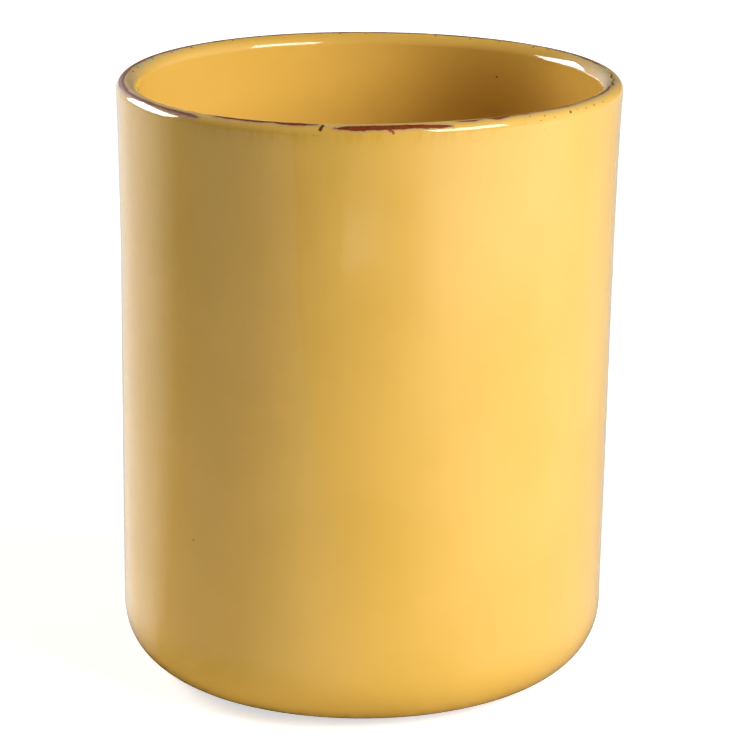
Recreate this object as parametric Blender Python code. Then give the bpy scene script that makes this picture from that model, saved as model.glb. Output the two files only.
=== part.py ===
"""A lidless glazed earthenware canister, of the kind that holds kitchen tools or dry food.

The fired clay body is one turned cup. A coat of glaze lies on its outside, another lines its
inside, and a third lies in the recess under its foot. The clay is bare along a thin line on the
lip, where the glaze has worn through, and on the foot ring, where it was wiped off before firing.

Metres, +Z up. The origin is on the table, under the middle of the foot.
"""

import math

import bmesh
import bpy

# Driving sizes of the glazed vessel
HEIGHT = 0.170
RIM_RADIUS = 0.070
WALL = 0.0062
TAPER = 0.0019
WAIST = 0.00055

# The lip, a quarter circle outside its crest and a slightly longer slope inside it
LIP_RADIUS = 0.0028
LIP_SLOPE_DROP = 0.0032

# The rounded heel outside, from the wall to the level of the table
HEEL_HEIGHT = 0.0203
HEEL_REACH = 0.023

# The foot ring, which stands out past the end of the heel, and the recess inside it
FOOT_STEP = 0.0048
FOOT_WIDTH = 0.006
FOOT_EDGE = 0.0005
RECESS_DEPTH = 0.0024

# The floor inside, and the rounding from it up to the wall
FLOOR_HEIGHT = 0.008
INNER_HEEL_HEIGHT = 0.016
INNER_HEEL_REACH = 0.018

# The coats of glaze, where they stop, and the clear space that neighbouring solids keep
GLAZE = 0.0004
SEAT_GAP = 0.0003
BARE_LINE_WIDTH = 0.0018
GLAZE_LINE_HEIGHT = 0.0014

# Angles, and how finely round stretches are drawn
QUARTER_TURN = math.pi / 2
BARE_LINE_LEAN = math.radians(20)
SHARP_ANGLE = math.radians(40)
TURN_STEPS = 64
WALL_STEPS = 6
HEEL_STEPS = 7
LIP_STEPS = 5

# The heels and the inner lip are superellipses: an exponent of 2 is an ellipse, and more is fuller
HEEL_EXPONENT = 2.26
LIP_SLOPE_EXPONENT = 1.75

# Sizes that follow
LIP_CENTRE_HEIGHT = HEIGHT - LIP_RADIUS
LIP_CENTRE_RADIUS = RIM_RADIUS - LIP_RADIUS
LIP_SLOPE_FOOT = HEIGHT - LIP_SLOPE_DROP
CLAY_DEPTH = GLAZE + SEAT_GAP
BARE_HALF_ANGLE = BARE_LINE_WIDTH / LIP_RADIUS / 2
BASE_RADIUS = RIM_RADIUS - TAPER - HEEL_REACH
FOOT_RADIUS = BASE_RADIUS + FOOT_STEP
RECESS_RADIUS = FOOT_RADIUS - FOOT_WIDTH
INNER_HEEL_TOP = FLOOR_HEIGHT + INNER_HEEL_HEIGHT


def outer_radius(height):
    """Outside of the wall. It tapers down to the heel, and is faintly hollow above half its height."""
    share = (height - HEEL_HEIGHT) / (LIP_CENTRE_HEIGHT - HEEL_HEIGHT)
    hollow = 4 * WAIST * share**2 * (1 - share**2)
    return RIM_RADIUS - TAPER * (1 - share) - hollow


def inner_radius(height):
    return outer_radius(height) - WALL


def steps(first, last, count):
    return [first + (last - first) * i / count for i in range(count + 1)]


def heel_angles(last):
    """Even steps down a heel as far as the last angle, so that the facets of nested heels line up."""
    return [angle for angle in steps(0, QUARTER_TURN, HEEL_STEPS) if angle < last] + [last]


def heel_arc(centre_radius, top, reach, drop, last):
    """Points round a heel, which leaves the wall straight down and meets the floor level."""
    power = 2 / HEEL_EXPONENT
    return [
        (
            centre_radius + reach * abs(math.cos(angle)) ** power,
            top - drop * math.sin(angle) ** power,
        )
        for angle in heel_angles(last)
    ]


def lip_point(depth, angle):
    """A point on the lip. The angle counts from its crest, and is positive towards the outside."""
    if angle >= 0:
        radius = LIP_RADIUS - depth
        return (
            LIP_CENTRE_RADIUS + radius * math.sin(angle),
            LIP_CENTRE_HEIGHT + radius * math.cos(angle),
        )
    power = 2 / LIP_SLOPE_EXPONENT
    reach = LIP_CENTRE_RADIUS - inner_radius(LIP_SLOPE_FOOT) - depth
    drop = LIP_SLOPE_DROP - depth
    return (
        LIP_CENTRE_RADIUS - reach * math.sin(-angle) ** power,
        LIP_SLOPE_FOOT + drop * abs(math.cos(angle)) ** power,
    )


def lip_arc(depth, first, last):
    """Points over the lip from one angle to another, as lip_point counts them."""
    count = max(2, round(LIP_STEPS * abs(last - first) / QUARTER_TURN))
    return [lip_point(depth, angle) for angle in steps(first, last, count)]


def outer_wall(depth):
    """Points down the outside between the lip and the heel, at a depth under the glazed surface."""
    heights = steps(LIP_CENTRE_HEIGHT, HEEL_HEIGHT, WALL_STEPS)[1:-1]
    return [(outer_radius(height) - depth, height) for height in heights]


def inner_wall(depth):
    """Points down the inside between the lip and the inner heel, at a depth under the glazed surface."""
    heights = steps(LIP_SLOPE_FOOT, INNER_HEEL_TOP, WALL_STEPS)[1:-1]
    return [(inner_radius(height) + depth, height) for height in heights]


def outer_heel(depth, last):
    """Points round the heel outside, down to the angle named."""
    return heel_arc(BASE_RADIUS, HEEL_HEIGHT, HEEL_REACH - depth, HEEL_HEIGHT - depth, last)


def inner_heel(depth):
    """Points round the heel inside, and on across the floor to the axis."""
    floor_radius = inner_radius(INNER_HEEL_TOP) - INNER_HEEL_REACH
    reach = INNER_HEEL_REACH + depth
    drop = INNER_HEEL_HEIGHT + depth
    arc = heel_arc(floor_radius, INNER_HEEL_TOP, reach, drop, QUARTER_TURN)
    return arc + [(0, FLOOR_HEIGHT - depth)]


def glaze_line_angle():
    """Where down the outer heel the glaze ends, clear of the table."""
    share = (HEEL_HEIGHT - GLAZE_LINE_HEIGHT) / HEEL_HEIGHT
    return math.asin(share ** (HEEL_EXPONENT / 2))


def foot_angle():
    """Where down the outer heel the clay meets the side of the foot ring."""
    share = FOOT_STEP / (HEEL_REACH - CLAY_DEPTH)
    return math.acos(share ** (HEEL_EXPONENT / 2))


def foot_ring():
    """Points round the ring that the canister stands on, and across the recess to the axis."""
    return [
        (FOOT_RADIUS, FOOT_EDGE),
        (FOOT_RADIUS - FOOT_EDGE, 0),
        (RECESS_RADIUS + FOOT_EDGE, 0),
        (RECESS_RADIUS, FOOT_EDGE),
        (RECESS_RADIUS, RECESS_DEPTH),
        (0, RECESS_DEPTH),
    ]


def clay_profile():
    """The clay cup, from the middle of its floor, up inside, over the lip, down outside and under."""
    inside = inner_wall(CLAY_DEPTH) + inner_heel(CLAY_DEPTH)
    lip = lip_arc(CLAY_DEPTH, -QUARTER_TURN, QUARTER_TURN)
    outside = outer_wall(CLAY_DEPTH) + outer_heel(CLAY_DEPTH, foot_angle())
    return inside[::-1] + lip + outside + foot_ring()


def outer_coat_side(depth):
    """One side of the outer coat, from the bare line on the lip to the glaze line above the foot."""
    lip = lip_arc(depth, BARE_LINE_LEAN + BARE_HALF_ANGLE, QUARTER_TURN)
    return lip + outer_wall(depth) + outer_heel(depth, glaze_line_angle())


def inner_coat_side(depth):
    """One side of the inner coat, from the bare line on the lip to the middle of the floor."""
    lip = lip_arc(depth, BARE_LINE_LEAN - BARE_HALF_ANGLE, -QUARTER_TURN)
    return lip + inner_wall(depth) + inner_heel(depth)


def base_coat_profile():
    """A thin disc that fills the recess to its side and stays clear of the table."""
    edge = RECESS_RADIUS - SEAT_GAP
    top = RECESS_DEPTH - SEAT_GAP
    bottom = top - GLAZE
    return [(0, top), (edge, top), (edge, bottom), (0, bottom)]


def fired_material(name, colour, roughness, coat):
    material = bpy.data.materials.new(name)
    material.use_nodes = True
    shader = material.node_tree.nodes["Principled BSDF"]
    shader.inputs["Base Color"].default_value = (*colour, 1)
    shader.inputs["Roughness"].default_value = roughness
    shader.inputs["Metallic"].default_value = 0
    shader.inputs["Coat Weight"].default_value = coat
    material.diffuse_color = (*colour, 1)
    return material


def turned(name, profile, material, is_ring=False):
    """Turns a profile about Z. A ring's profile closes on itself, and any other ends on the axis."""
    shape = bmesh.new()
    points = [shape.verts.new((radius, 0, height)) for radius, height in profile]
    nexts = points[1:] + points[:1] if is_ring else points[1:]
    edges = [shape.edges.new(pair) for pair in zip(points, nexts)]
    bmesh.ops.spin(
        shape,
        geom=points + edges,
        cent=(0, 0, 0),
        axis=(0, 0, 1),
        angle=math.tau,
        steps=TURN_STEPS,
        use_merge=True,
    )
    bmesh.ops.remove_doubles(shape, verts=shape.verts, dist=SEAT_GAP / TURN_STEPS)
    bmesh.ops.recalc_face_normals(shape, faces=shape.faces)
    mesh = bpy.data.meshes.new(name)
    shape.to_mesh(mesh)
    shape.free()
    mesh.shade_smooth()
    mesh.set_sharp_from_angle(angle=SHARP_ANGLE)
    mesh.materials.append(material)
    piece = bpy.data.objects.new(name, mesh)
    bpy.context.collection.objects.link(piece)
    return piece


def clear_scene():
    for thing in list(bpy.data.objects):
        bpy.data.objects.remove(thing, do_unlink=True)


def build():
    clear_scene()
    clay = fired_material("terracotta", (0.33, 0.12, 0.055), 0.75, 0)
    yellow = fired_material("yellow_glaze", (0.80, 0.50, 0.12), 0.16, 0.5)
    turned("clay_body", clay_profile(), clay)
    turned("outer_glaze", outer_coat_side(0) + outer_coat_side(GLAZE)[::-1], yellow, is_ring=True)
    turned("inner_glaze", inner_coat_side(0)[::-1] + inner_coat_side(GLAZE), yellow)
    turned("base_glaze", base_coat_profile(), yellow)


build()
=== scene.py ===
"""Looks for the open glazed earthenware crock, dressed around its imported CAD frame.

The vessel is thrown by hand, so it leans a little, its rim rises and falls by nearly half a
millimetre, and its wall has shallow ripples that show in the gloss. Its glaze has worn thin along the
lip, and in places it is gone, so that the dark fired clay shows.

Metres, +Z up. Azimuths count from the front (-Y) and are positive towards +X.
"""

import math

import bpy
import numpy as np
from mathutils import Matrix


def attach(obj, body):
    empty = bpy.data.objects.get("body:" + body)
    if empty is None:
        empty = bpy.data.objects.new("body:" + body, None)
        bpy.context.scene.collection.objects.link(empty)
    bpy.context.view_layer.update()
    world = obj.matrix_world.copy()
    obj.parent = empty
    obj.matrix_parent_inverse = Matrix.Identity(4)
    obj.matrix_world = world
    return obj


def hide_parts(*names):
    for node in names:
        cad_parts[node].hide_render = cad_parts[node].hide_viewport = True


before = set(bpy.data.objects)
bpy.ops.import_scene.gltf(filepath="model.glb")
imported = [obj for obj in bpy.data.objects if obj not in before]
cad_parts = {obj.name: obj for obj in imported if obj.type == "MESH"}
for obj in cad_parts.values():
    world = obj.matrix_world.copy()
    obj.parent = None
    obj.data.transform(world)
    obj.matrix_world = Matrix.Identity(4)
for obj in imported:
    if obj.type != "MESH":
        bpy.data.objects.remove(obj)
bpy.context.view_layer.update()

# Sizes of the vessel, as its CAD source has them
HEIGHT = 0.170
RIM_RADIUS = 0.070
WALL = 0.0062
TAPER = 0.0019
WAIST = 0.00055
LIP_RADIUS = 0.0028
LIP_SLOPE_DROP = 0.0032
LIP_SLOPE_EXPONENT = 1.75
HEEL_HEIGHT = 0.0203
HEEL_REACH = 0.023
HEEL_EXPONENT = 2.26
FOOT_STEP = 0.0048
FOOT_WIDTH = 0.006
FOOT_EDGE = 0.0005
RECESS_DEPTH = 0.0024
FLOOR_HEIGHT = 0.008
INNER_HEEL_HEIGHT = 0.016
INNER_HEEL_REACH = 0.018
GLAZE = 0.0004
SEAT_GAP = 0.0003
GLAZE_LINE_HEIGHT = 0.0014

# Sizes that follow
QUARTER_TURN = math.pi / 2
LIP_CENTRE_HEIGHT = HEIGHT - LIP_RADIUS
LIP_CENTRE_RADIUS = RIM_RADIUS - LIP_RADIUS
LIP_SLOPE_FOOT = HEIGHT - LIP_SLOPE_DROP
CLAY_DEPTH = GLAZE + SEAT_GAP
BASE_RADIUS = RIM_RADIUS - TAPER - HEEL_REACH
FOOT_RADIUS = BASE_RADIUS + FOOT_STEP
RECESS_RADIUS = FOOT_RADIUS - FOOT_WIDTH
INNER_HEEL_TOP = FLOOR_HEIGHT + INNER_HEEL_HEIGHT

# How the hand-made vessel departs from its turned shape. LEAN is a slope, and each wave of the rim has
# its count round the vessel and the heights of its cosine and its sine.
LEAN = 0.0127
RIM_REACH_DOWN = 0.060
RIM_FALL = 0.00058
RIM_WAVES = ((2, 0.00017, 0.00028), (3, 0.00013, 0.00006))
RIPPLE_SEED = 7
RIPPLE_COUNT = 90
RIPPLE_HEIGHT = 0.00004
RIPPLE_LENGTHS = (0.006, 0.060)
RIPPLE_SPREAD = 0.7
RIPPLE_LIMIT = 2.5

# Where the glaze is worn through: azimuth, lip angle of the middle of the line, and half its width.
# Lip angles count from the crest in degrees, and are positive outside. A half width of 0 ends a stretch.
WORN_STRETCHES = (
    # Round the back and down the left side, where it is widest
    (
        (-180, -8, 6), (-140, -5, 7), (-115, 2, 13), (-95, 16, 18), (-84, 29, 19), (-74, 31, 14),
        (-68, 27, 10), (-58, 26, 9), (-50, 33, 12), (-44, 38, 15), (-39.5, 44, 0),
    ),
    # A thin line left of the front
    (
        (-38, 7, 0), (-36.5, 9, 7), (-33, 12, 9), (-26, 15, 10), (-22, 13, 8), (-17, 20, 13),
        (-12.5, 21, 6), (-11, 21, 0),
    ),
    # The broad patch at the front
    (
        (-8, 47, 0), (-5, 42, 14), (-2, 41, 17), (2, 41, 15), (5, 38, 15), (8, 36, 17), (10.5, 38, 13),
        (14, 42, 12), (16.5, 47, 9), (18.3, 50, 0),
    ),
    # A thin line with two blots right of the front, which turns jagged on the right side
    (
        (19, 12, 0), (23, 21, 8), (26.5, 6, 3), (29.5, 17, 14), (33, 10, 4), (46, 1, 5), (48.5, 8, 5),
        (54, 1, 5), (64, -6, 7), (73, 2, 6), (78, -9, 5), (80.5, 7, 5), (83.5, -12, 5), (86, 4, 4),
        (90, -12, 5), (93, 1, 4), (97, -14, 0),
    ),
    # On round the back
    (
        (101, -8, 2), (115, -4, 8), (134, -7, 3), (150, -9, 6), (180, -8, 6),
    ),
)
WORN_RAGGEDNESS = ((23, 1.2), (41, 1.0), (67, 0.9), (109, 0.8))

# How far from the crest the glaze is thin: azimuth, reach inwards, reach outwards, and how thin
THINNED = (
    (-180, 0.0009, 0.0008, 0.6), (-140, 0.0012, 0.0008, 0.6), (-122, 0.0025, 0.0010, 0.8),
    (-90, 0.0036, 0.0015, 1.0), (-55, 0.0030, 0.0017, 0.8), (-40, 0.0022, 0.0024, 0.65),
    (-12, 0.0015, 0.0024, 0.6), (-4, 0.0015, 0.0024, 0.45), (30, 0.0015, 0.0026, 0.45),
    (60, 0.0025, 0.0024, 0.5), (85, 0.0038, 0.0020, 0.75), (105, 0.0026, 0.0012, 0.8),
    (125, 0.0012, 0.0008, 0.7), (180, 0.0009, 0.0008, 0.6),
)

# From which share of that reach on the thin glaze ends, and over how much more of it
THINNED_FROM = 0.55
THINNED_OVER = 0.6

# Where thicker glaze has run down in short streaks: two azimuths, over how much it begins and ends there,
# two lengths down from the crest, over how much it begins, and how much of it there is at most
RUN_AZIMUTHS = (-44, 36)
RUN_BEGINS_OVER = 6
RUN_ENDS_OVER = 12
RUN_REACH = (0.0026, 0.0085)
RUN_GROWS_OVER = 0.0018
RUN_MOST = 0.8

# How the end of the outer glaze above the foot wanders: waves round the vessel, share of its height, phase
GLAZE_LINE_WAVES = ((5, 0.16, 1), (13, 0.10, 2), (37, 0.05, 0))

# How much thicker the glaze in the recess is along its side, and how fast that fades towards the axis
GATHERED_GLAZE = 0.6
GATHERED_FADE = 3

# Dark specks in the glaze on the lip: azimuth, lip angle and radius
LIP_SPECKS = (
    (49.8, 54, 0.00042), (59.5, 53, 0.0003), (55.8, 56, 0.00025), (52.5, 50, 0.0002), (64.2, 55, 0.00028),
    (41.5, 48, 0.00025), (44.2, 64, 0.0002), (40, 71, 0.00015), (37.5, 35, 0.0002), (35.5, 72, 0.00015),
    (-9, 12, 0.00013), (-7.5, 36, 0.00013), (-11, 88, 0.00014), (-11.8, 84, 0.00012),
    (-10.1, 24, 0.0004), (-10.2, 33, 0.0005), (-10.4, 43, 0.00055), (-10.5, 52, 0.00055),
    (153.5, -26, 0.0003), (145, -25, 0.00025), (134.2, -22, 0.0003), (129.5, -18, 0.0003),
    (-143, -20, 0.00025), (-135, -26, 0.0002), (-129.2, -22, 0.00035), (-121.2, -24, 0.00025),
    (-111.8, -22, 0.0003), (-108, -16, 0.0003), (-101.2, -22, 0.0003), (-96, -22, 0.0004),
    (-172.5, -20, 0.0003), (-179, -20, 0.0003), (174.8, -12, 0.00025), (163, -22, 0.0003),
)

# Specks on the wall: azimuth, height, radius, and whether they are inside
WALL_SPECKS = ((-42.4, 0.0513, 0.00028, False), (41, 0.1658, 0.00012, False), (144.2, 0.1598, 0.0003, True))

# A pink blister below the bare patch at the front, and the brown drip beside it: azimuth, lip angle and
# radius of each of their spots
BLISTER = ((3.6, 59, 0.0005), (4.1, 69, 0.00045), (5.8, 61, 0.0004))
DRIP = ((4.4, 55, 0.00055), (4.9, 64, 0.0004), (5.1, 73, 0.00035))

# How soft the edge of a speck or spot is, as shares of its radius
SPOT_EDGE = (0.5, 1.35)

# The glaze that is left beside the bare clay. Its margin where nothing is worn is in degrees of lip angle.
THIN_DEPTH = 0.00007
BARE_DEPTH = 0.0001
EDGE_DIP = 0.00004
THINNING_WIDTH = 0.0015
ROUNDING_WIDTH = 0.0004
BARE_MARGIN = 0.00022
WHOLE_GLAZE_MARGIN = 12.0
BLUSH_REACH = (-0.0011, -0.0002)
BLUSH_MOST = 0.7

# How finely the surfaces are drawn
COLUMNS = 768
LIP_ROWS = 26
WALL_ROWS = 56
HEEL_ROWS = 20
BACK_LIP_ROWS = 6
BACK_WALL_ROWS = 5
BACK_HEEL_ROWS = 7
BACK_FLOOR_ROWS = 2
CLAY_LIP_ROWS = 60
FLOOR_ROWS = 6
RECESS_ROWS = 12
RECESS_BACK_ROWS = 3
FOOT_EDGE_POINTS = 5
FOOT_FLAT_SHARES = (0.3, 0.5, 0.7)
LIP_TABLE_POINTS = 721
SHARP_ANGLE = math.radians(30)

# Stands for the length along the lip, and for the wear, of places that are far from the lip
OFF_LIP = -1.0

turns = np.arange(COLUMNS) * math.tau / COLUMNS - math.pi
around = np.degrees(turns)
random = np.random.default_rng(RIPPLE_SEED)


def smooth(share):
    """Zero up to zero, one from one on, and a soft step in between."""
    held = np.clip(share, 0, 1)
    return held * held * (3 - 2 * held)


def mixed(first, last, share):
    return first + (last - first) * share


def rows_between(first, last, count):
    """Rows of values for every column, evenly spaced from the first to the last."""
    shares = np.linspace(0, 1, count)[:, None]
    start = np.broadcast_to(first, turns.shape)
    stop = np.broadcast_to(last, turns.shape)
    return mixed(start[None, :], stop[None, :], shares)


def outer_radius(height):
    """Outside of the wall. It tapers down to the heel, and is faintly hollow above half its height."""
    share = (height - HEEL_HEIGHT) / (LIP_CENTRE_HEIGHT - HEEL_HEIGHT)
    hollow = 4 * WAIST * share**2 * (1 - share**2)
    return RIM_RADIUS - TAPER * (1 - share) - hollow


def inner_radius(height):
    return outer_radius(height) - WALL


def lip_place(depth, angle):
    """Radius and height on the lip, at a depth under the glazed surface."""
    power = 2 / LIP_SLOPE_EXPONENT
    reach = LIP_CENTRE_RADIUS - inner_radius(LIP_SLOPE_FOOT) - depth
    drop = LIP_SLOPE_DROP - depth
    inside_radius = LIP_CENTRE_RADIUS - reach * np.abs(np.sin(angle)) ** power
    inside_height = LIP_SLOPE_FOOT + drop * np.abs(np.cos(angle)) ** power
    outside_radius = LIP_CENTRE_RADIUS + (LIP_RADIUS - depth) * np.sin(angle)
    outside_height = LIP_CENTRE_HEIGHT + (LIP_RADIUS - depth) * np.cos(angle)
    is_outside = angle >= 0
    radius = np.where(is_outside, outside_radius, inside_radius)
    height = np.where(is_outside, outside_height, inside_height)
    return radius, height


def heel_place(centre_radius, top, reach, drop, angle):
    """Radius and height on a heel, which leaves the wall straight down and meets the floor level."""
    power = 2 / HEEL_EXPONENT
    radius = centre_radius + reach * np.abs(np.cos(angle)) ** power
    return radius, top - drop * np.abs(np.sin(angle)) ** power


def outer_heel_place(depth, angle):
    return heel_place(BASE_RADIUS, HEEL_HEIGHT, HEEL_REACH - depth, HEEL_HEIGHT - depth, angle)


def inner_heel_place(depth, angle):
    floor_radius = inner_radius(INNER_HEEL_TOP) - INNER_HEEL_REACH
    reach = INNER_HEEL_REACH + depth
    drop = INNER_HEEL_HEIGHT + depth
    return heel_place(floor_radius, INNER_HEEL_TOP, reach, drop, angle)


def lip_arc_table():
    """Lip angles, and how far along the lip from its crest each of them is."""
    angles = np.linspace(-QUARTER_TURN, QUARTER_TURN, LIP_TABLE_POINTS)
    radii, heights = lip_place(0, angles)
    steps = np.hypot(np.diff(radii), np.diff(heights))
    arcs = np.concatenate([[0], np.cumsum(steps)])
    return angles, arcs - np.interp(0, angles, arcs)


LIP_ANGLES, LIP_ARCS = lip_arc_table()


def arc_at(angle):
    return np.interp(angle, LIP_ANGLES, LIP_ARCS)


def angle_at(arc):
    return np.interp(arc, LIP_ARCS, LIP_ANGLES)


def worn_arcs():
    """For every column, the two places on the lip between which clay shows, as lengths from the crest."""
    every = np.array(sum(WORN_STRETCHES, ()), dtype=float)
    middle = np.interp(around, every[:, 0], every[:, 1])
    half = np.full(COLUMNS, -WHOLE_GLAZE_MARGIN)
    for stretch in WORN_STRETCHES:
        azimuths, _, halves = np.array(stretch, dtype=float).T
        is_here = (around >= azimuths[0]) & (around <= azimuths[-1])
        half = np.where(is_here, np.interp(around, azimuths, halves), half)
    ragged = sum(size * np.sin(count * turns + count) for count, size in WORN_RAGGEDNESS)
    frayed = sum(size * np.cos(2 * count * turns - count) for count, size in WORN_RAGGEDNESS)
    first = arc_at(np.radians(middle - half + ragged))
    last = arc_at(np.radians(middle + half + frayed))
    return first, last


WORN_FIRST, WORN_LAST = worn_arcs()
WORN_MIDDLE = (WORN_FIRST + WORN_LAST) / 2
BARE_HALF = np.clip((WORN_LAST - WORN_FIRST) / 2 - BARE_MARGIN, 0, None)
OUTER_EDGE = WORN_MIDDLE + BARE_HALF
INNER_EDGE = WORN_MIDDLE - BARE_HALF


def thinness(arcs):
    """How thin the glaze is, from 0 to 1, at lengths along the lip for every column."""
    azimuths, inwards, outwards, most = np.array(THINNED).T
    reach = np.where(arcs < 0, np.interp(around, azimuths, inwards), np.interp(around, azimuths, outwards))
    ended = smooth((np.abs(arcs) / reach - THINNED_FROM) / THINNED_OVER)
    return np.interp(around, azimuths, most) * (1 - ended)


def runniness(arcs):
    """How much of the thicker, streaky glaze below the lip there is."""
    first, last = RUN_AZIMUTHS
    near, far = RUN_REACH
    begun = smooth((around - first) / RUN_BEGINS_OVER)
    ended = smooth((around - last + RUN_ENDS_OVER) / RUN_ENDS_OVER)
    grown = smooth((arcs - near) / RUN_GROWS_OVER)
    faded = smooth((arcs - near) / (far - near))
    return RUN_MOST * begun * (1 - ended) * grown * (1 - faded)


def ripple_waves():
    """Directions, lengths and heights of the shallow waves in the wall."""
    shortest, longest = RIPPLE_LENGTHS
    lengths = shortest * (longest / shortest) ** random.random(RIPPLE_COUNT)
    headings = random.normal(0, RIPPLE_SPREAD, RIPPLE_COUNT)
    across = np.round(math.tau * RIM_RADIUS / lengths * np.cos(headings))
    along = math.tau / lengths * np.sin(headings)
    phases = random.random(RIPPLE_COUNT) * math.tau
    weights = lengths / longest
    weights = weights * RIPPLE_HEIGHT / np.sqrt(np.sum(weights**2))
    return np.stack([across, along, phases, weights], axis=1)


RIPPLES = ripple_waves()


def ripple(turn, height):
    """How far the surface is pushed in towards the axis. It is never pushed out past the turned shape."""
    total = np.zeros(np.broadcast(turn, height).shape)
    for across, along, phase, weight in RIPPLES:
        total = total + weight * np.sin(across * turn + along * height + phase)
    ceiling = RIPPLE_LIMIT * RIPPLE_HEIGHT
    return ceiling + np.clip(total, -ceiling, ceiling)


def placed(radius, height, turn):
    """Takes a place on the turned shape to where it is on the hand-made one."""
    radius, height, turn = np.broadcast_arrays(radius, height, turn)
    inward = ripple(turn, height) * smooth(radius / BASE_RADIUS)
    lift = -RIM_FALL
    for count, level, slant in RIM_WAVES:
        lift = lift + level * np.cos(count * turn) + slant * np.sin(count * turn)
    raised = height + lift * smooth((height - HEIGHT + RIM_REACH_DOWN) / RIM_REACH_DOWN)
    reach = radius - inward
    x = reach * np.sin(turn) + LEAN * (raised - HEIGHT)
    y = -reach * np.cos(turn)
    return np.stack([x, y, raised], axis=-1)


class Skin:
    """A closed surface made of rings of points and of single points on the axis, with values at each."""

    def __init__(self):
        self.points = []
        self.values = []
        self.rows = []

    def add_rows(self, radii, heights, arcs, worn):
        """Adds rings. The radii have a row for each ring, and the rest may be single numbers."""
        heights = np.broadcast_to(heights, radii.shape)
        arcs = np.broadcast_to(arcs, radii.shape)
        worn = np.broadcast_to(worn, radii.shape)
        for row in range(len(radii)):
            start = sum(len(block) for block in self.points)
            self.points.append(placed(radii[row], heights[row], turns))
            values = [arcs[row], worn[row], thinness(arcs[row]), runniness(arcs[row])]
            self.values.append(np.stack(values, axis=-1))
            self.rows.append(np.arange(COLUMNS) + start)

    def add_pole(self, height):
        start = sum(len(block) for block in self.points)
        self.points.append(placed(np.zeros(1), np.full(1, height), np.zeros(1)))
        self.values.append(np.array([[OFF_LIP, OFF_LIP, 0.0, 0.0]]))
        self.rows.append(np.array([start]))

    def faces(self, is_ring):
        pairs = list(zip(self.rows, self.rows[1:]))
        if is_ring:
            pairs.append((self.rows[-1], self.rows[0]))
        found = []
        for upper, lower in pairs:
            if len(upper) == 1 and len(lower) == 1:
                continue
            if len(upper) == 1:
                found += [(int(upper[0]), int(b), int(a)) for a, b in zip(lower, np.roll(lower, -1))]
            elif len(lower) == 1:
                found += [(int(a), int(b), int(lower[0])) for a, b in zip(upper, np.roll(upper, -1))]
            else:
                block = np.stack([upper, np.roll(upper, -1), np.roll(lower, -1), lower], axis=1)
                found += [tuple(face) for face in block.tolist()]
        return found

    def build(self, name, material, is_ring=False):
        points = np.concatenate(self.points)
        values = np.concatenate(self.values)
        faces = self.faces(is_ring)
        mesh = bpy.data.meshes.new(name)
        mesh.from_pydata(points.tolist(), [], faces)
        for index, label in enumerate(("lip_arc", "worn", "thin", "run")):
            attribute = mesh.attributes.new(label, "FLOAT", "POINT")
            attribute.data.foreach_set("value", values[:, index].astype(np.float32))
        mesh.update()
        if signed_volume(points, faces) < 0:
            mesh.flip_normals()
        mesh.shade_smooth()
        mesh.set_sharp_from_angle(angle=SHARP_ANGLE)
        mesh.materials.append(material)
        piece = bpy.data.objects.new(name, mesh)
        bpy.context.scene.collection.objects.link(piece)
        return piece


def signed_volume(points, faces):
    """A sum over the first corners of every face, whose sign says whether the faces look outwards."""
    first = points[[face[0] for face in faces]]
    second = points[[face[1] for face in faces]]
    third = points[[face[2] for face in faces]]
    return float(np.sum(first * np.cross(second, third)))


def worn_depth(arc):
    """How far inside a worn stretch a place on the lip is. It is negative outside one."""
    return np.minimum(arc - WORN_FIRST, WORN_LAST - arc)


def coat_ends(is_outside):
    """Where on the lip a coat begins beside the bare clay, and where the lip ends on that side."""
    return (OUTER_EDGE, LIP_ARCS[-1]) if is_outside else (INNER_EDGE, LIP_ARCS[0])


def coat_face(skin, is_outside):
    """The visible side of a coat on the lip, from the bare clay on."""
    edge, end = coat_ends(is_outside)
    arcs = rows_between(edge, end, LIP_ROWS)
    away = np.abs(arcs - edge)
    dip = EDGE_DIP * smooth(BARE_HALF / ROUNDING_WIDTH) * (1 - smooth(away / ROUNDING_WIDTH))
    radii, heights = lip_place(dip, angle_at(arcs))
    skin.add_rows(radii, heights, arcs, worn_depth(arcs))


def coat_back(skin, is_outside):
    """The hidden side of a coat on the lip, back to the bare clay."""
    edge, end = coat_ends(is_outside)
    arcs = rows_between(end, edge, BACK_LIP_ROWS + 1)[1:]
    depth = mixed(THIN_DEPTH, GLAZE, smooth(np.abs(arcs - edge) / THINNING_WIDTH))
    radii, heights = lip_place(depth, angle_at(arcs))
    skin.add_rows(radii, heights, arcs, worn_depth(arcs))


def add_outside(skin, wall_rows, heel_rows, depth, last_angle, is_upwards=False):
    """Rows down the outside of the wall and round the heel, at a depth under the glazed surface."""
    wall = rows_between(LIP_CENTRE_HEIGHT, HEEL_HEIGHT, wall_rows + 1)[1:]
    angles = rows_between(0, last_angle, heel_rows + 1)[1:]
    heel_radii, heel_heights = outer_heel_place(depth, angles)
    radii = np.concatenate([outer_radius(wall) - depth, heel_radii])
    heights = np.concatenate([wall, heel_heights])
    arcs = LIP_ARCS[-1] + LIP_CENTRE_HEIGHT - heights
    if is_upwards:
        radii, heights, arcs = radii[::-1], heights[::-1], arcs[::-1]
    skin.add_rows(radii, heights, arcs, -arcs)


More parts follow.
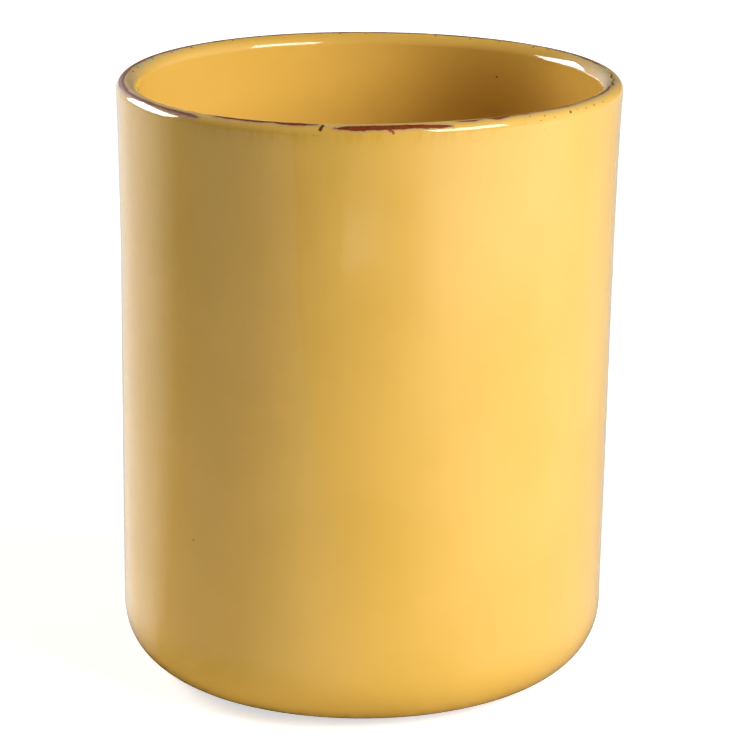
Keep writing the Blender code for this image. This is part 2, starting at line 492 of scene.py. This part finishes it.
def add_inside(skin, wall_rows, heel_rows, floor_rows, depth, is_upwards=False):
    """Rows down the inside of the wall, round the inner heel and across the floor."""
    wall = rows_between(LIP_SLOPE_FOOT, INNER_HEEL_TOP, wall_rows + 1)[1:]
    angles = rows_between(0, QUARTER_TURN, heel_rows + 1)[1:]
    heel_radii, heel_heights = inner_heel_place(depth, angles)
    floor_radii = rows_between(heel_radii[-1], 0, floor_rows + 2)[1:-1]
    floor_heights = np.broadcast_to(heel_heights[-1], floor_radii.shape)
    radii = np.concatenate([inner_radius(wall) + depth, heel_radii, floor_radii])
    heights = np.concatenate([wall, heel_heights, floor_heights])
    arcs = LIP_ARCS[0] + heights - LIP_SLOPE_FOOT
    if is_upwards:
        radii, heights, arcs = radii[::-1], heights[::-1], arcs[::-1]
    skin.add_rows(radii, heights, arcs, arcs)


def glaze_line_angles():
    """Where down the outer heel the glaze ends for every column, clear of the table and a little uneven."""
    wander = np.ones(COLUMNS)
    for count, size, phase in GLAZE_LINE_WAVES:
        wander = wander + size * np.sin(count * turns + phase)
    share = (HEEL_HEIGHT - GLAZE_LINE_HEIGHT * wander) / HEEL_HEIGHT
    return np.arcsin(share ** (HEEL_EXPONENT / 2))


def outer_coat(material):
    skin = Skin()
    coat_face(skin, is_outside=True)
    add_outside(skin, WALL_ROWS, HEEL_ROWS, 0, glaze_line_angles())
    add_outside(skin, BACK_WALL_ROWS, BACK_HEEL_ROWS, GLAZE, glaze_line_angles(), is_upwards=True)
    coat_back(skin, is_outside=True)
    return skin.build("glaze_outside", material, is_ring=True)


def inner_coat(material):
    skin = Skin()
    coat_face(skin, is_outside=False)
    add_inside(skin, WALL_ROWS, HEEL_ROWS, FLOOR_ROWS, 0)
    skin.add_pole(FLOOR_HEIGHT)
    skin.add_pole(FLOOR_HEIGHT - GLAZE)
    add_inside(skin, BACK_WALL_ROWS, BACK_HEEL_ROWS, BACK_FLOOR_ROWS, GLAZE, is_upwards=True)
    coat_back(skin, is_outside=False)
    return skin.build("glaze_inside", material, is_ring=True)


def clay_lip(skin):
    """The clay over the lip, which comes up close to the glazed surface where it is bare."""
    arcs = rows_between(LIP_ARCS[0], LIP_ARCS[-1], CLAY_LIP_ROWS)
    away = np.clip(np.abs(arcs - WORN_MIDDLE) - BARE_HALF, 0, None)
    depth = mixed(BARE_DEPTH, CLAY_DEPTH, smooth(away / THINNING_WIDTH))
    radii, heights = lip_place(depth, angle_at(arcs))
    skin.add_rows(radii, heights, arcs, worn_depth(arcs))


def foot_angle():
    """Where down the outer heel the clay meets the side of the foot ring."""
    share = FOOT_STEP / (HEEL_REACH - CLAY_DEPTH)
    return math.acos(share ** (HEEL_EXPONENT / 2))


def foot_ring(skin):
    """The ring that the vessel stands on, and the recess inside it."""
    rounding = np.linspace(0, QUARTER_TURN, FOOT_EDGE_POINTS)
    inset = FOOT_EDGE * (1 - np.cos(rounding))
    rise = FOOT_EDGE * (1 - np.sin(rounding))
    outside = np.stack([FOOT_RADIUS - inset, rise], axis=-1)
    inside = np.stack([RECESS_RADIUS + inset, rise], axis=-1)
    flat = [(FOOT_RADIUS - FOOT_WIDTH * share, 0) for share in FOOT_FLAT_SHARES]
    roof = [(RECESS_RADIUS, RECESS_DEPTH), (RECESS_RADIUS / 2, RECESS_DEPTH)]
    profile = np.concatenate([outside, flat, inside[::-1], roof])
    radii = np.broadcast_to(profile[:, :1], (len(profile), COLUMNS))
    skin.add_rows(radii, profile[:, 1:], OFF_LIP, OFF_LIP)


def clay_cup(material):
    skin = Skin()
    skin.add_pole(FLOOR_HEIGHT - CLAY_DEPTH)
    add_inside(skin, BACK_WALL_ROWS, BACK_HEEL_ROWS, BACK_FLOOR_ROWS, CLAY_DEPTH, is_upwards=True)
    clay_lip(skin)
    add_outside(skin, BACK_WALL_ROWS, HEEL_ROWS, CLAY_DEPTH, foot_angle())
    foot_ring(skin)
    skin.add_pole(RECESS_DEPTH)
    return skin.build("fired_clay", material)


def base_coat(material):
    """The glaze in the recess, which lies a little thicker along its side."""
    edge = RECESS_RADIUS - SEAT_GAP
    top = RECESS_DEPTH - SEAT_GAP
    skin = Skin()
    skin.add_pole(top)
    skin.add_rows(rows_between(edge / 2, edge, RECESS_BACK_ROWS), top, OFF_LIP, OFF_LIP)
    radii = rows_between(edge, 0, RECESS_ROWS + 2)[1:-1]
    inwards = np.linspace(0, 1, RECESS_ROWS)[:, None]
    heights = top - GLAZE * (1 + GATHERED_GLAZE * (1 - smooth(inwards * GATHERED_FADE)))
    skin.add_rows(radii, heights, OFF_LIP, OFF_LIP)
    skin.add_pole(top - GLAZE)
    return skin.build("glaze_underneath", material)


# The curve of a picture's colours: a straight line up to its knee, and a shifted power above that
FULL_COLOUR = 255
CURVE_KNEE = 0.04045
CURVE_SLOPE = 12.92
CURVE_SHIFT = 0.055
CURVE_POWER = 2.4


def srgb(red, green, blue):
    """A colour as a picture shows it, taken to the linear values that a shader needs."""
    shown = np.array([red, green, blue]) / FULL_COLOUR
    raised = ((shown + CURVE_SHIFT) / (1 + CURVE_SHIFT)) ** CURVE_POWER
    linear = np.where(shown <= CURVE_KNEE, shown / CURVE_SLOPE, raised)
    return (*linear.tolist(), 1)


# Sockets of the Mix node in its form for numbers and in its form for colours: the share, the first, the
# last and the result
MIX_SOCKETS = {"FLOAT": (0, 2, 3, 0), "RGBA": (0, 6, 7, 2)}
NOISE_MIDDLE = 0.5
ORIGIN = (0, 0, 0)
WHITE = (1, 1, 1, 1)


class Nodes:
    """Short calls for the nodes of a material or of the world."""

    def __init__(self, owner):
        owner.use_nodes = True
        self.owner = owner
        self.tree = owner.node_tree

    def add(self, kind, inputs=None, **settings):
        node = self.tree.nodes.new(kind)
        for label, value in settings.items():
            setattr(node, label, value)
        for label, value in (inputs or {}).items():
            self.put(node, label, value)
        return node

    def put(self, node, label, value):
        if isinstance(value, bpy.types.NodeSocket):
            self.tree.links.new(value, node.inputs[label])
        else:
            node.inputs[label].default_value = value

    def math(self, operation, first, second=0.0):
        node = self.add("ShaderNodeMath", operation=operation)
        self.put(node, 0, first)
        self.put(node, 1, second)
        return node.outputs[0]

    def step(self, value, low, high, first=0.0, last=1.0):
        """A soft step from one value to another as the input goes from low to high."""
        ends = {"From Min": low, "From Max": high, "To Min": first, "To Max": last}
        node = self.add("ShaderNodeMapRange", {"Value": value, **ends}, interpolation_type="SMOOTHSTEP")
        return node.outputs["Result"]

    def mix(self, share, first, last, kind="FLOAT"):
        """Goes from the first value to the last as the share goes from 0 to 1."""
        node = self.add("ShaderNodeMix", data_type=kind)
        *inputs, result = MIX_SOCKETS[kind]
        for index, value in zip(inputs, (share, first, last)):
            self.put(node, index, value)
        return node.outputs[result]

    def colour(self, share, first, last):
        return self.mix(share, first, last, "RGBA")

    def noise(self, vector, scale, detail=2.0, roughness=0.5):
        node = self.add(
            "ShaderNodeTexNoise",
            {"Vector": vector, "Scale": scale, "Detail": detail, "Roughness": roughness},
        )
        return node.outputs["Fac"]

    def unevenness(self, vector, noise, size):
        """Noise about zero, times a size."""
        centred = self.math("SUBTRACT", self.noise(vector, *noise), NOISE_MIDDLE)
        return self.math("MULTIPLY", centred, size)

    def bump(self, shader, height, strength, depth):
        node = self.add("ShaderNodeBump", {"Strength": strength, "Distance": depth, "Height": height})
        self.put(shader, "Normal", node.outputs["Normal"])

    def value(self, label):
        return self.add("ShaderNodeAttribute", attribute_name=label).outputs["Fac"]

    def place(self, kind="Object"):
        return self.add("ShaderNodeTexCoord").outputs[kind]

    def vector(self, operation, first, second=ORIGIN):
        node = self.add("ShaderNodeVectorMath", operation=operation)
        self.put(node, 0, first)
        self.put(node, 1, second)
        return node.outputs["Value"] if operation in ("DOT_PRODUCT", "DISTANCE") else node.outputs["Vector"]


# Colours of the glaze and of the clay. Where there are two, noise goes from one to the other.
GLAZE_COLOURS = (srgb(225, 179, 83), srgb(221, 175, 78))
RUN_COLOUR = srgb(208, 160, 50)
THIN_COLOURS = (srgb(198, 182, 122), srgb(220, 178, 104))
BLUSH_COLOUR = srgb(196, 154, 102)
BLISTER_COLOUR = srgb(216, 158, 118)
DRIP_COLOUR = srgb(146, 70, 44)
SPECK_COLOUR = srgb(84, 56, 14)
BROWN_COLOUR = srgb(120, 58, 20)
CLAY_COLOURS = (srgb(168, 98, 62), srgb(190, 118, 78))
WORN_CLAY_COLOURS = (srgb(112, 44, 12), srgb(140, 64, 24))

# Noise, by scale, detail and for some also roughness, and the values of it that a soft step goes between
CLOUD_NOISE = (28, 3)
CLOUD_STEP = (0.35, 0.65)
MOTTLE_NOISE = (300, 2)
MOTTLE_STEP = (0.4, 0.6)
SKIN_NOISE = (700, 2)
PATCH_NOISE = (420, 4, 0.6)
STREAK_NOISE = (620, 2)
STREAK_STEP = (0.40, 0.66)
FRAY_NOISE = (1500, 3, 0.6)
SPECK_NOISE = (1800, 1)
GRAIN_NOISE = (900, 4)
GRAIN_STEP = (0.3, 0.7)
FIBRE_NOISE = (900, 3)
FIBRE_STEP = (0.2, 0.8)

# Finish of the glaze and of the clay. Each bump has its strength and its depth.
GLAZE_ROUGHNESS = 0.07
GLAZE_IOR = 1.5
GLAZE_BUMP = (0.012, 0.0004)
WORN_ROUGHNESS = 0.4
CLAY_ROUGHNESS = 0.8
CLAY_SPECULAR = 0.3
CLAY_BUMP = (0.25, 0.0003)

# How uneven the edges of the thin glaze, the brown line and the specks are, and where each of them ends
PATCH_SIZE = 0.9
PATCH_LIMIT = 1.6
THIN_STEP = (0.05, 0.95)
FRAY_SIZE = 0.0005
BROWN_STEP = (-0.00008, 0.00006)
SPECK_SHIFT = 0.0004
POLISHED_REACH = (0.006, 0.009)

# How far streaks are drawn out down the wall, and how much of the thicker glaze is in them
STREAK_SQUEEZE = (1.0, 1.0, 0.18)
STREAK_SHARE = 0.6


def lip_spots(spots):
    """Places on the vessel as it was made, and radii, of spots given by azimuth, lip angle and radius."""
    for azimuth, angle, radius in spots:
        reach, height = lip_place(0, np.radians(angle))
        yield placed(reach, height, math.radians(azimuth)), radius


def wall_spots(spots):
    """Places and radii of spots given by azimuth, height, radius and whether they are inside."""
    for azimuth, height, radius, is_inside in spots:
        reach = inner_radius(height) if is_inside else outer_radius(height)
        yield placed(reach, height, math.radians(azimuth)), radius


def spot_share(nodes, place, spots):
    """One inside any of the round spots, and zero outside them."""
    share = 0.0
    low, high = SPOT_EDGE
    for middle, radius in spots:
        away = nodes.vector("DISTANCE", place, tuple(middle.tolist()))
        share = nodes.math("MAXIMUM", share, nodes.step(away, radius * low, radius * high, 1.0, 0.0))
    return share


def speck_share(nodes, place):
    """Where there is a speck. The places are shifted a little by noise, so that no speck is round."""
    scale, detail = SPECK_NOISE
    wobble = nodes.add("ShaderNodeTexNoise", {"Vector": place, "Scale": scale, "Detail": detail})
    centred = nodes.vector("SUBTRACT", wobble.outputs["Color"], [NOISE_MIDDLE] * 3)
    shifted = nodes.vector("ADD", place, nodes.vector("MULTIPLY", centred, [SPECK_SHIFT] * 3))
    return spot_share(nodes, shifted, [*lip_spots(LIP_SPECKS), *wall_spots(WALL_SPECKS)])


def glaze_material(name):
    """Warm yellow glaze: thin and tan at the lip, streaky below it, with dark specks."""
    nodes = Nodes(bpy.data.materials.new(name))
    shader = nodes.tree.nodes["Principled BSDF"]
    place = nodes.place()
    cloud = nodes.step(nodes.noise(place, *CLOUD_NOISE), *CLOUD_STEP)
    colour = nodes.colour(cloud, *GLAZE_COLOURS)
    colour = nodes.colour(run_share(nodes, place), colour, RUN_COLOUR)
    mottle = nodes.step(nodes.noise(place, *MOTTLE_NOISE), *MOTTLE_STEP)
    thin = nodes.colour(mottle, *THIN_COLOURS)
    colour = nodes.colour(thin_share(nodes, place), colour, thin)
    colour = nodes.colour(blush_share(nodes), colour, BLUSH_COLOUR)
    colour = nodes.colour(spot_share(nodes, place, lip_spots(BLISTER)), colour, BLISTER_COLOUR)
    colour = nodes.colour(spot_share(nodes, place, lip_spots(DRIP)), colour, DRIP_COLOUR)
    colour = nodes.colour(speck_share(nodes, place), colour, SPECK_COLOUR)
    brown = brown_share(nodes, place)
    nodes.put(shader, "Base Color", nodes.colour(brown, colour, BROWN_COLOUR))
    nodes.put(shader, "Roughness", nodes.step(brown, 0.0, 1.0, GLAZE_ROUGHNESS, WORN_ROUGHNESS))
    nodes.put(shader, "IOR", GLAZE_IOR)
    nodes.bump(shader, nodes.noise(place, *SKIN_NOISE), *GLAZE_BUMP)
    return nodes.owner


def thin_share(nodes, place):
    """How thin the glaze is, patchy where that ends."""
    thin = nodes.value("thin")
    shifted = nodes.math("ADD", thin, nodes.unevenness(place, PATCH_NOISE, PATCH_SIZE))
    held = nodes.math("MINIMUM", shifted, nodes.math("MULTIPLY", thin, PATCH_LIMIT))
    return nodes.step(held, *THIN_STEP)


def run_share(nodes, place):
    """Streaks of thicker glaze, drawn out down the wall."""
    drawn_out = nodes.vector("MULTIPLY", place, STREAK_SQUEEZE)
    streak = nodes.step(nodes.noise(drawn_out, *STREAK_NOISE), *STREAK_STEP, 1 - STREAK_SHARE, 1.0)
    return nodes.math("MULTIPLY", streak, nodes.value("run"))


def blush_share(nodes):
    """The pinkish beige of the glaze just outside the worn line."""
    near = nodes.step(nodes.value("worn"), *BLUSH_REACH, 0.0, BLUSH_MOST)
    return nodes.math("MULTIPLY", near, nodes.step(nodes.value("lip_arc"), 0.0, ROUNDING_WIDTH))


def brown_share(nodes, place):
    """Where the clay shows through the last of the glaze, with a ragged edge."""
    frayed = nodes.math("ADD", nodes.value("worn"), nodes.unevenness(place, FRAY_NOISE, FRAY_SIZE))
    return nodes.step(frayed, *BROWN_STEP)


def clay_material():
    """Fired clay: pale red-brown under the glaze and on the foot, and dark where wear has polished it."""
    nodes = Nodes(bpy.data.materials.new("clay_fired"))
    shader = nodes.tree.nodes["Principled BSDF"]
    place = nodes.place()
    grain = nodes.noise(place, *GRAIN_NOISE)
    spread = nodes.step(grain, *GRAIN_STEP)
    polished = nodes.step(nodes.math("ABSOLUTE", nodes.value("lip_arc")), *POLISHED_REACH, 1.0, 0.0)
    clay = nodes.colour(spread, *CLAY_COLOURS)
    worn_clay = nodes.colour(spread, *WORN_CLAY_COLOURS)
    nodes.put(shader, "Base Color", nodes.colour(polished, clay, worn_clay))
    nodes.put(shader, "Roughness", nodes.step(polished, 0.0, 1.0, CLAY_ROUGHNESS, WORN_ROUGHNESS))
    nodes.put(shader, "Specular IOR Level", CLAY_SPECULAR)
    nodes.bump(shader, grain, *CLAY_BUMP)
    return nodes.owner


# The room: a pale floor under a white surround. Diffuse rays get a weak even fill from the surround, and a
# soft pool of light from the floor at the right front, with a hole in it where the vessel stands.
FLOOR_SPAN = 12
FLOOR_FACES = 24
FLOOR_PAPER = 0.78
FIBRE_DARKEST = 0.98
BOARD_PAPER = 0.95
TABLE_PAPER = 0.50
BOARD_REACH = (0.10, 0.55)
FLOOR_GLOW = 0.64
FAR_FLOOR = (0.5, 1.5)
POOL_PLACE = (0.12, -0.12, 0)
POOL_REACH = (0.03, 0.50)
POOL_GLOW = 0.40
POOL_HOLE = (0.04, 0.16)
ROOM_FILL = 0.01

# What gloss sees of the room, where the real one wasn't evenly white: radiance where nothing is bright,
# and how far away the surround is taken to be
GLOSS_DARK = 0.12
ROOM_SPAN = 6

# Each bright side of the room: its azimuth, the azimuth and radius of the place that it is seen from, how
# near to the axis it begins, its radiance, and the cosines between which it grows to that
FLOOR_SIDES = (
    (-136, -70, 0.070, 0, 1.2, 0.70, 1.0),
    (72, 65, 0.045, 0.08, 1.0, 0.25, 0.95),
    (160, 75, 0.045, 0.08, 0.5, 0.62, 1.0),
)
ROOM_SIDES = ((-138, 0, 0, 0, 1.2, 0.70, 1.0), (72, 0, 0, 0, 0.9, 0.25, 0.95))
SIDE_BLUR = 0.03

# The shade under the vessel, the bright area far off, the board that the vessel stood on, and pale strips
# past its edge. Each strip has how far off it starts and stops, and its radiance.
VESSEL_SHADE = (0.03, 0.10)
VESSEL_SHADE_PLACE = (-0.03, -0.03, 0)
FAR_AZIMUTH = 60
FAR_FACING = (0.72, 0.95)
FAR_REACH = (0.40, 0.58)
FAR_RADIANCE = 1.0
BOARD_EDGE = 0.139
BOARD_EDGE_AZIMUTH = 45
BOARD_RADIANCE = 0.42
BOARD_AZIMUTH = -45
BOARD_FACING = (0.6, 0.95)
EDGE_BLUR = 0.004
STRIPS = ((0.53, 0.59, 1.0), (0.612, 0.624, 0.5), (0.645, 0.66, 0.5))
STRIP_LEFT = -0.1
STRIP_RIGHT = 0.12
STRIP_BLUR = 0.008

# Azimuths that the strips are measured along
FRONT = 0
RIGHT = 90


def towards(azimuth):
    """The level direction of an azimuth."""
    turn = math.radians(azimuth)
    return (math.sin(turn), -math.cos(turn), 0)


def facing_from(nodes, place, start, azimuth):
    """The cosine between an azimuth and the way from a starting place to another place."""
    direction = nodes.vector("NORMALIZE", nodes.vector("SUBTRACT", place, start))
    return nodes.vector("DOT_PRODUCT", direction, towards(azimuth))


def gloss_radiance(nodes, place, sides):
    """White behind the left of the vessel, bright on the side of the key light, and dim elsewhere."""
    total = GLOSS_DARK
    away = nodes.vector("DISTANCE", place)
    for azimuth, seen_from, radius, nearest, radiance, low, high in sides:
        start = tuple(radius * part for part in towards(seen_from))
        facing = facing_from(nodes, place, start, azimuth)
        begun = nodes.step(away, nearest - SIDE_BLUR, nearest + SIDE_BLUR)
        side = nodes.math("MULTIPLY", begun, nodes.step(facing, low, high, 0.0, radiance))
        total = nodes.math("ADD", total, side)
    return total


def floor_material():
    """Pale paper. The camera sees it lighter, up to white, and still with the shadow on it."""
    nodes = Nodes(bpy.data.materials.new("floor_paper"))
    place = nodes.place()
    path = nodes.add("ShaderNodeLightPath")
    is_gloss = path.outputs["Is Glossy Ray"]
    away = nodes.vector("DISTANCE", place)
    light_paper = nodes.step(away, *BOARD_REACH, BOARD_PAPER, TABLE_PAPER)
    seen_paper = nodes.mix(path.outputs["Is Camera Ray"], light_paper, FLOOR_PAPER)
    fibre = nodes.step(nodes.noise(place, *FIBRE_NOISE), *FIBRE_STEP, FIBRE_DARKEST, 1.0)
    pale = nodes.math("MULTIPLY", seen_paper, fibre)
    pale = nodes.math("MULTIPLY", pale, nodes.math("SUBTRACT", 1.0, is_gloss))
    paper = nodes.add("ShaderNodeBsdfDiffuse", {"Color": pale})
    is_seen = nodes.math("MAXIMUM", path.outputs["Is Camera Ray"], path.outputs["Is Transmission Ray"])
    in_view = nodes.math("MULTIPLY", is_seen, nodes.step(away, *FAR_FLOOR, FLOOR_GLOW, 1.0))
    in_gloss = nodes.math("MULTIPLY", is_gloss, floor_radiance(nodes, place))
    pool_away = nodes.vector("DISTANCE", place, POOL_PLACE)
    pool = nodes.step(pool_away, *POOL_REACH, POOL_GLOW, 0.0)
    pool = nodes.math("MULTIPLY", pool, nodes.step(away, *POOL_HOLE))
    pool = nodes.math("MULTIPLY", pool, path.outputs["Is Diffuse Ray"])
    strength = nodes.math("ADD", nodes.math("ADD", in_view, in_gloss), pool)
    glow = nodes.add("ShaderNodeEmission", {"Color": WHITE, "Strength": strength})
    both = nodes.add("ShaderNodeAddShader")
    nodes.tree.links.new(paper.outputs[0], both.inputs[0])
    nodes.tree.links.new(glow.outputs[0], both.inputs[1])
    nodes.tree.links.new(both.outputs[0], nodes.tree.nodes["Material Output"].inputs["Surface"])
    nodes.tree.nodes.remove(nodes.tree.nodes["Principled BSDF"])
    return nodes.owner


def floor_radiance(nodes, place):
    """What gloss sees on the floor, which is nothing right under the vessel."""
    total = gloss_radiance(nodes, place, FLOOR_SIDES)
    for part in (board_radiance, far_radiance, strip_radiance):
        total = nodes.math("ADD", total, part(nodes, place))
    shade_away = nodes.vector("DISTANCE", place, VESSEL_SHADE_PLACE)
    return nodes.math("MULTIPLY", total, nodes.step(shade_away, *VESSEL_SHADE))


def board_radiance(nodes, place):
    """The board that the vessel stood on, up to its straight edge."""
    along = nodes.vector("DOT_PRODUCT", place, towards(BOARD_EDGE_AZIMUTH))
    board = nodes.step(along, BOARD_EDGE - EDGE_BLUR, BOARD_EDGE + EDGE_BLUR, BOARD_RADIANCE, 0.0)
    facing = facing_from(nodes, place, ORIGIN, BOARD_AZIMUTH)
    return nodes.math("MULTIPLY", board, nodes.step(facing, *BOARD_FACING))


def far_radiance(nodes, place):
    """A bright area far off at the right front."""
    facing = nodes.step(facing_from(nodes, place, ORIGIN, FAR_AZIMUTH), *FAR_FACING)
    away = nodes.step(nodes.vector("DISTANCE", place), *FAR_REACH, 0.0, FAR_RADIANCE)
    return nodes.math("MULTIPLY", facing, away)


def strip_radiance(nodes, place):
    """Pale strips across the front, past the edge of the board."""
    away = nodes.vector("DOT_PRODUCT", place, towards(FRONT))
    across = nodes.vector("DOT_PRODUCT", place, towards(RIGHT))
    begins = nodes.step(across, STRIP_LEFT - EDGE_BLUR, STRIP_LEFT + EDGE_BLUR)
    side = nodes.math("MULTIPLY", begins, nodes.step(across, 0.0, STRIP_RIGHT, 1.0, 0.0))
    total = 0.0
    for near, far, radiance in STRIPS:
        starts = nodes.step(away, near - STRIP_BLUR, near + STRIP_BLUR)
        stops = nodes.step(away, far - STRIP_BLUR, far + STRIP_BLUR, radiance, 0.0)
        total = nodes.math("ADD", total, nodes.math("MULTIPLY", starts, stops))
    return nodes.math("MULTIPLY", total, side)


def floor():
    mesh = bpy.data.meshes.new("floor")
    corners = np.linspace(-FLOOR_SPAN / 2, FLOOR_SPAN / 2, FLOOR_FACES + 1)
    points = [(x, y, 0) for y in corners for x in corners]
    across = FLOOR_FACES + 1
    faces = [
        (row * across + i, row * across + i + 1, (row + 1) * across + i + 1, (row + 1) * across + i)
        for row in range(FLOOR_FACES)
        for i in range(FLOOR_FACES)
    ]
    mesh.from_pydata(points, [], faces)
    mesh.materials.append(floor_material())
    sheet = bpy.data.objects.new("floor", mesh)
    bpy.context.scene.collection.objects.link(sheet)


def room_light():
    """The world gives a weak even fill. The camera and glass see it white, and gloss as the real room was."""
    nodes = Nodes(bpy.data.worlds.new("white_room"))
    bpy.context.scene.world = nodes.owner
    path = nodes.add("ShaderNodeLightPath")
    is_seen = nodes.math("MAXIMUM", path.outputs["Is Camera Ray"], path.outputs["Is Transmission Ray"])
    is_gloss = path.outputs["Is Glossy Ray"]
    far_place = nodes.vector("MULTIPLY", nodes.place("Generated"), [ROOM_SPAN] * 3)
    in_gloss = nodes.math("MULTIPLY", is_gloss, gloss_radiance(nodes, far_place, ROOM_SIDES))
    rest = nodes.math("SUBTRACT", nodes.math("SUBTRACT", 1.0, is_seen), is_gloss)
    fill = nodes.math("MULTIPLY", nodes.math("MAXIMUM", rest, 0.0), ROOM_FILL)
    background = nodes.tree.nodes["Background"]
    nodes.put(background, "Color", WHITE)
    nodes.put(background, "Strength", nodes.math("ADD", nodes.math("ADD", is_seen, in_gloss), fill))


# Each softbox by azimuth, elevation, distance, its width and height as angles, its radiance, and what it
# shows in. The glints hang nearer than the lights, so that no two lie in one plane.
LIGHT_AIM_HEIGHT = 0.12
SOFTBOXES = (
    ("key_softbox", 55, 26, 1.6, 32, 34, 11.8, "diffuse"),
    ("key_glint", 48, 30, 1.5, 35, 22, 14.0, "gloss"),
    ("left_softbox", -121, 21, 1.6, 30, 28, 10.8, "diffuse"),
    ("left_glint", -121, 21, 1.5, 37, 20, 18.0, "gloss"),
)


def softbox(name, azimuth, elevation, distance, width, height, radiance, shows_in):
    lamp = bpy.data.lights.new(name, "AREA")
    lamp.shape = "RECTANGLE"
    lamp.size = 2 * distance * math.tan(math.radians(width) / 2)
    lamp.size_y = 2 * distance * math.tan(math.radians(height) / 2)
    lamp.energy = radiance * math.pi * lamp.size * lamp.size_y
    holder = bpy.data.objects.new(name, lamp)
    turn, rise = math.radians(azimuth), math.radians(elevation)
    place = Matrix.Translation((0, 0, LIGHT_AIM_HEIGHT)) @ Matrix.Rotation(turn, 4, "Z")
    tilt = Matrix.Rotation(QUARTER_TURN - rise, 4, "X")
    holder.matrix_world = place @ tilt @ Matrix.Translation((0, 0, distance))
    holder.visible_camera = False
    holder.visible_diffuse = shows_in == "diffuse"
    holder.visible_glossy = shows_in == "gloss"
    bpy.context.scene.collection.objects.link(holder)


# The camera, found from the outline of the vessel in the photograph
CAMERA_DISTANCE = 0.950
CAMERA_HEIGHT = 0.352807
CAMERA_FOCUS_PIXELS = 3496.03
CAMERA_PITCH = 0.27616
CAMERA_ROLL = -0.00203
CAMERA_YAW = -0.00174
PICTURE_PIXELS = 750
SENSOR_MM = 36


def camera():
    lens = bpy.data.cameras.new("photo_camera")
    lens.sensor_width = SENSOR_MM
    lens.lens = CAMERA_FOCUS_PIXELS / PICTURE_PIXELS * SENSOR_MM
    holder = bpy.data.objects.new("photo_camera", lens)
    place = Matrix.Translation((0, -CAMERA_DISTANCE, CAMERA_HEIGHT)) @ Matrix.Rotation(CAMERA_YAW, 4, "Z")
    tilt = Matrix.Rotation(QUARTER_TURN - CAMERA_PITCH, 4, "X")
    holder.matrix_world = place @ tilt @ Matrix.Rotation(-CAMERA_ROLL, 4, "Z")
    bpy.context.scene.collection.objects.link(holder)
    bpy.context.scene.camera = holder


def dress(piece, node):
    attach(piece, "root")
    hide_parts(node)


glaze = glaze_material("glaze_yellow")
dress(outer_coat(glaze), "outer_glaze")
dress(inner_coat(glaze), "inner_glaze")
dress(base_coat(glaze), "base_glaze")
dress(clay_cup(clay_material()), "clay_body")
floor()
room_light()
for row in SOFTBOXES:
    softbox(*row)
camera()
bpy.context.scene.view_settings.view_transform = "Standard"
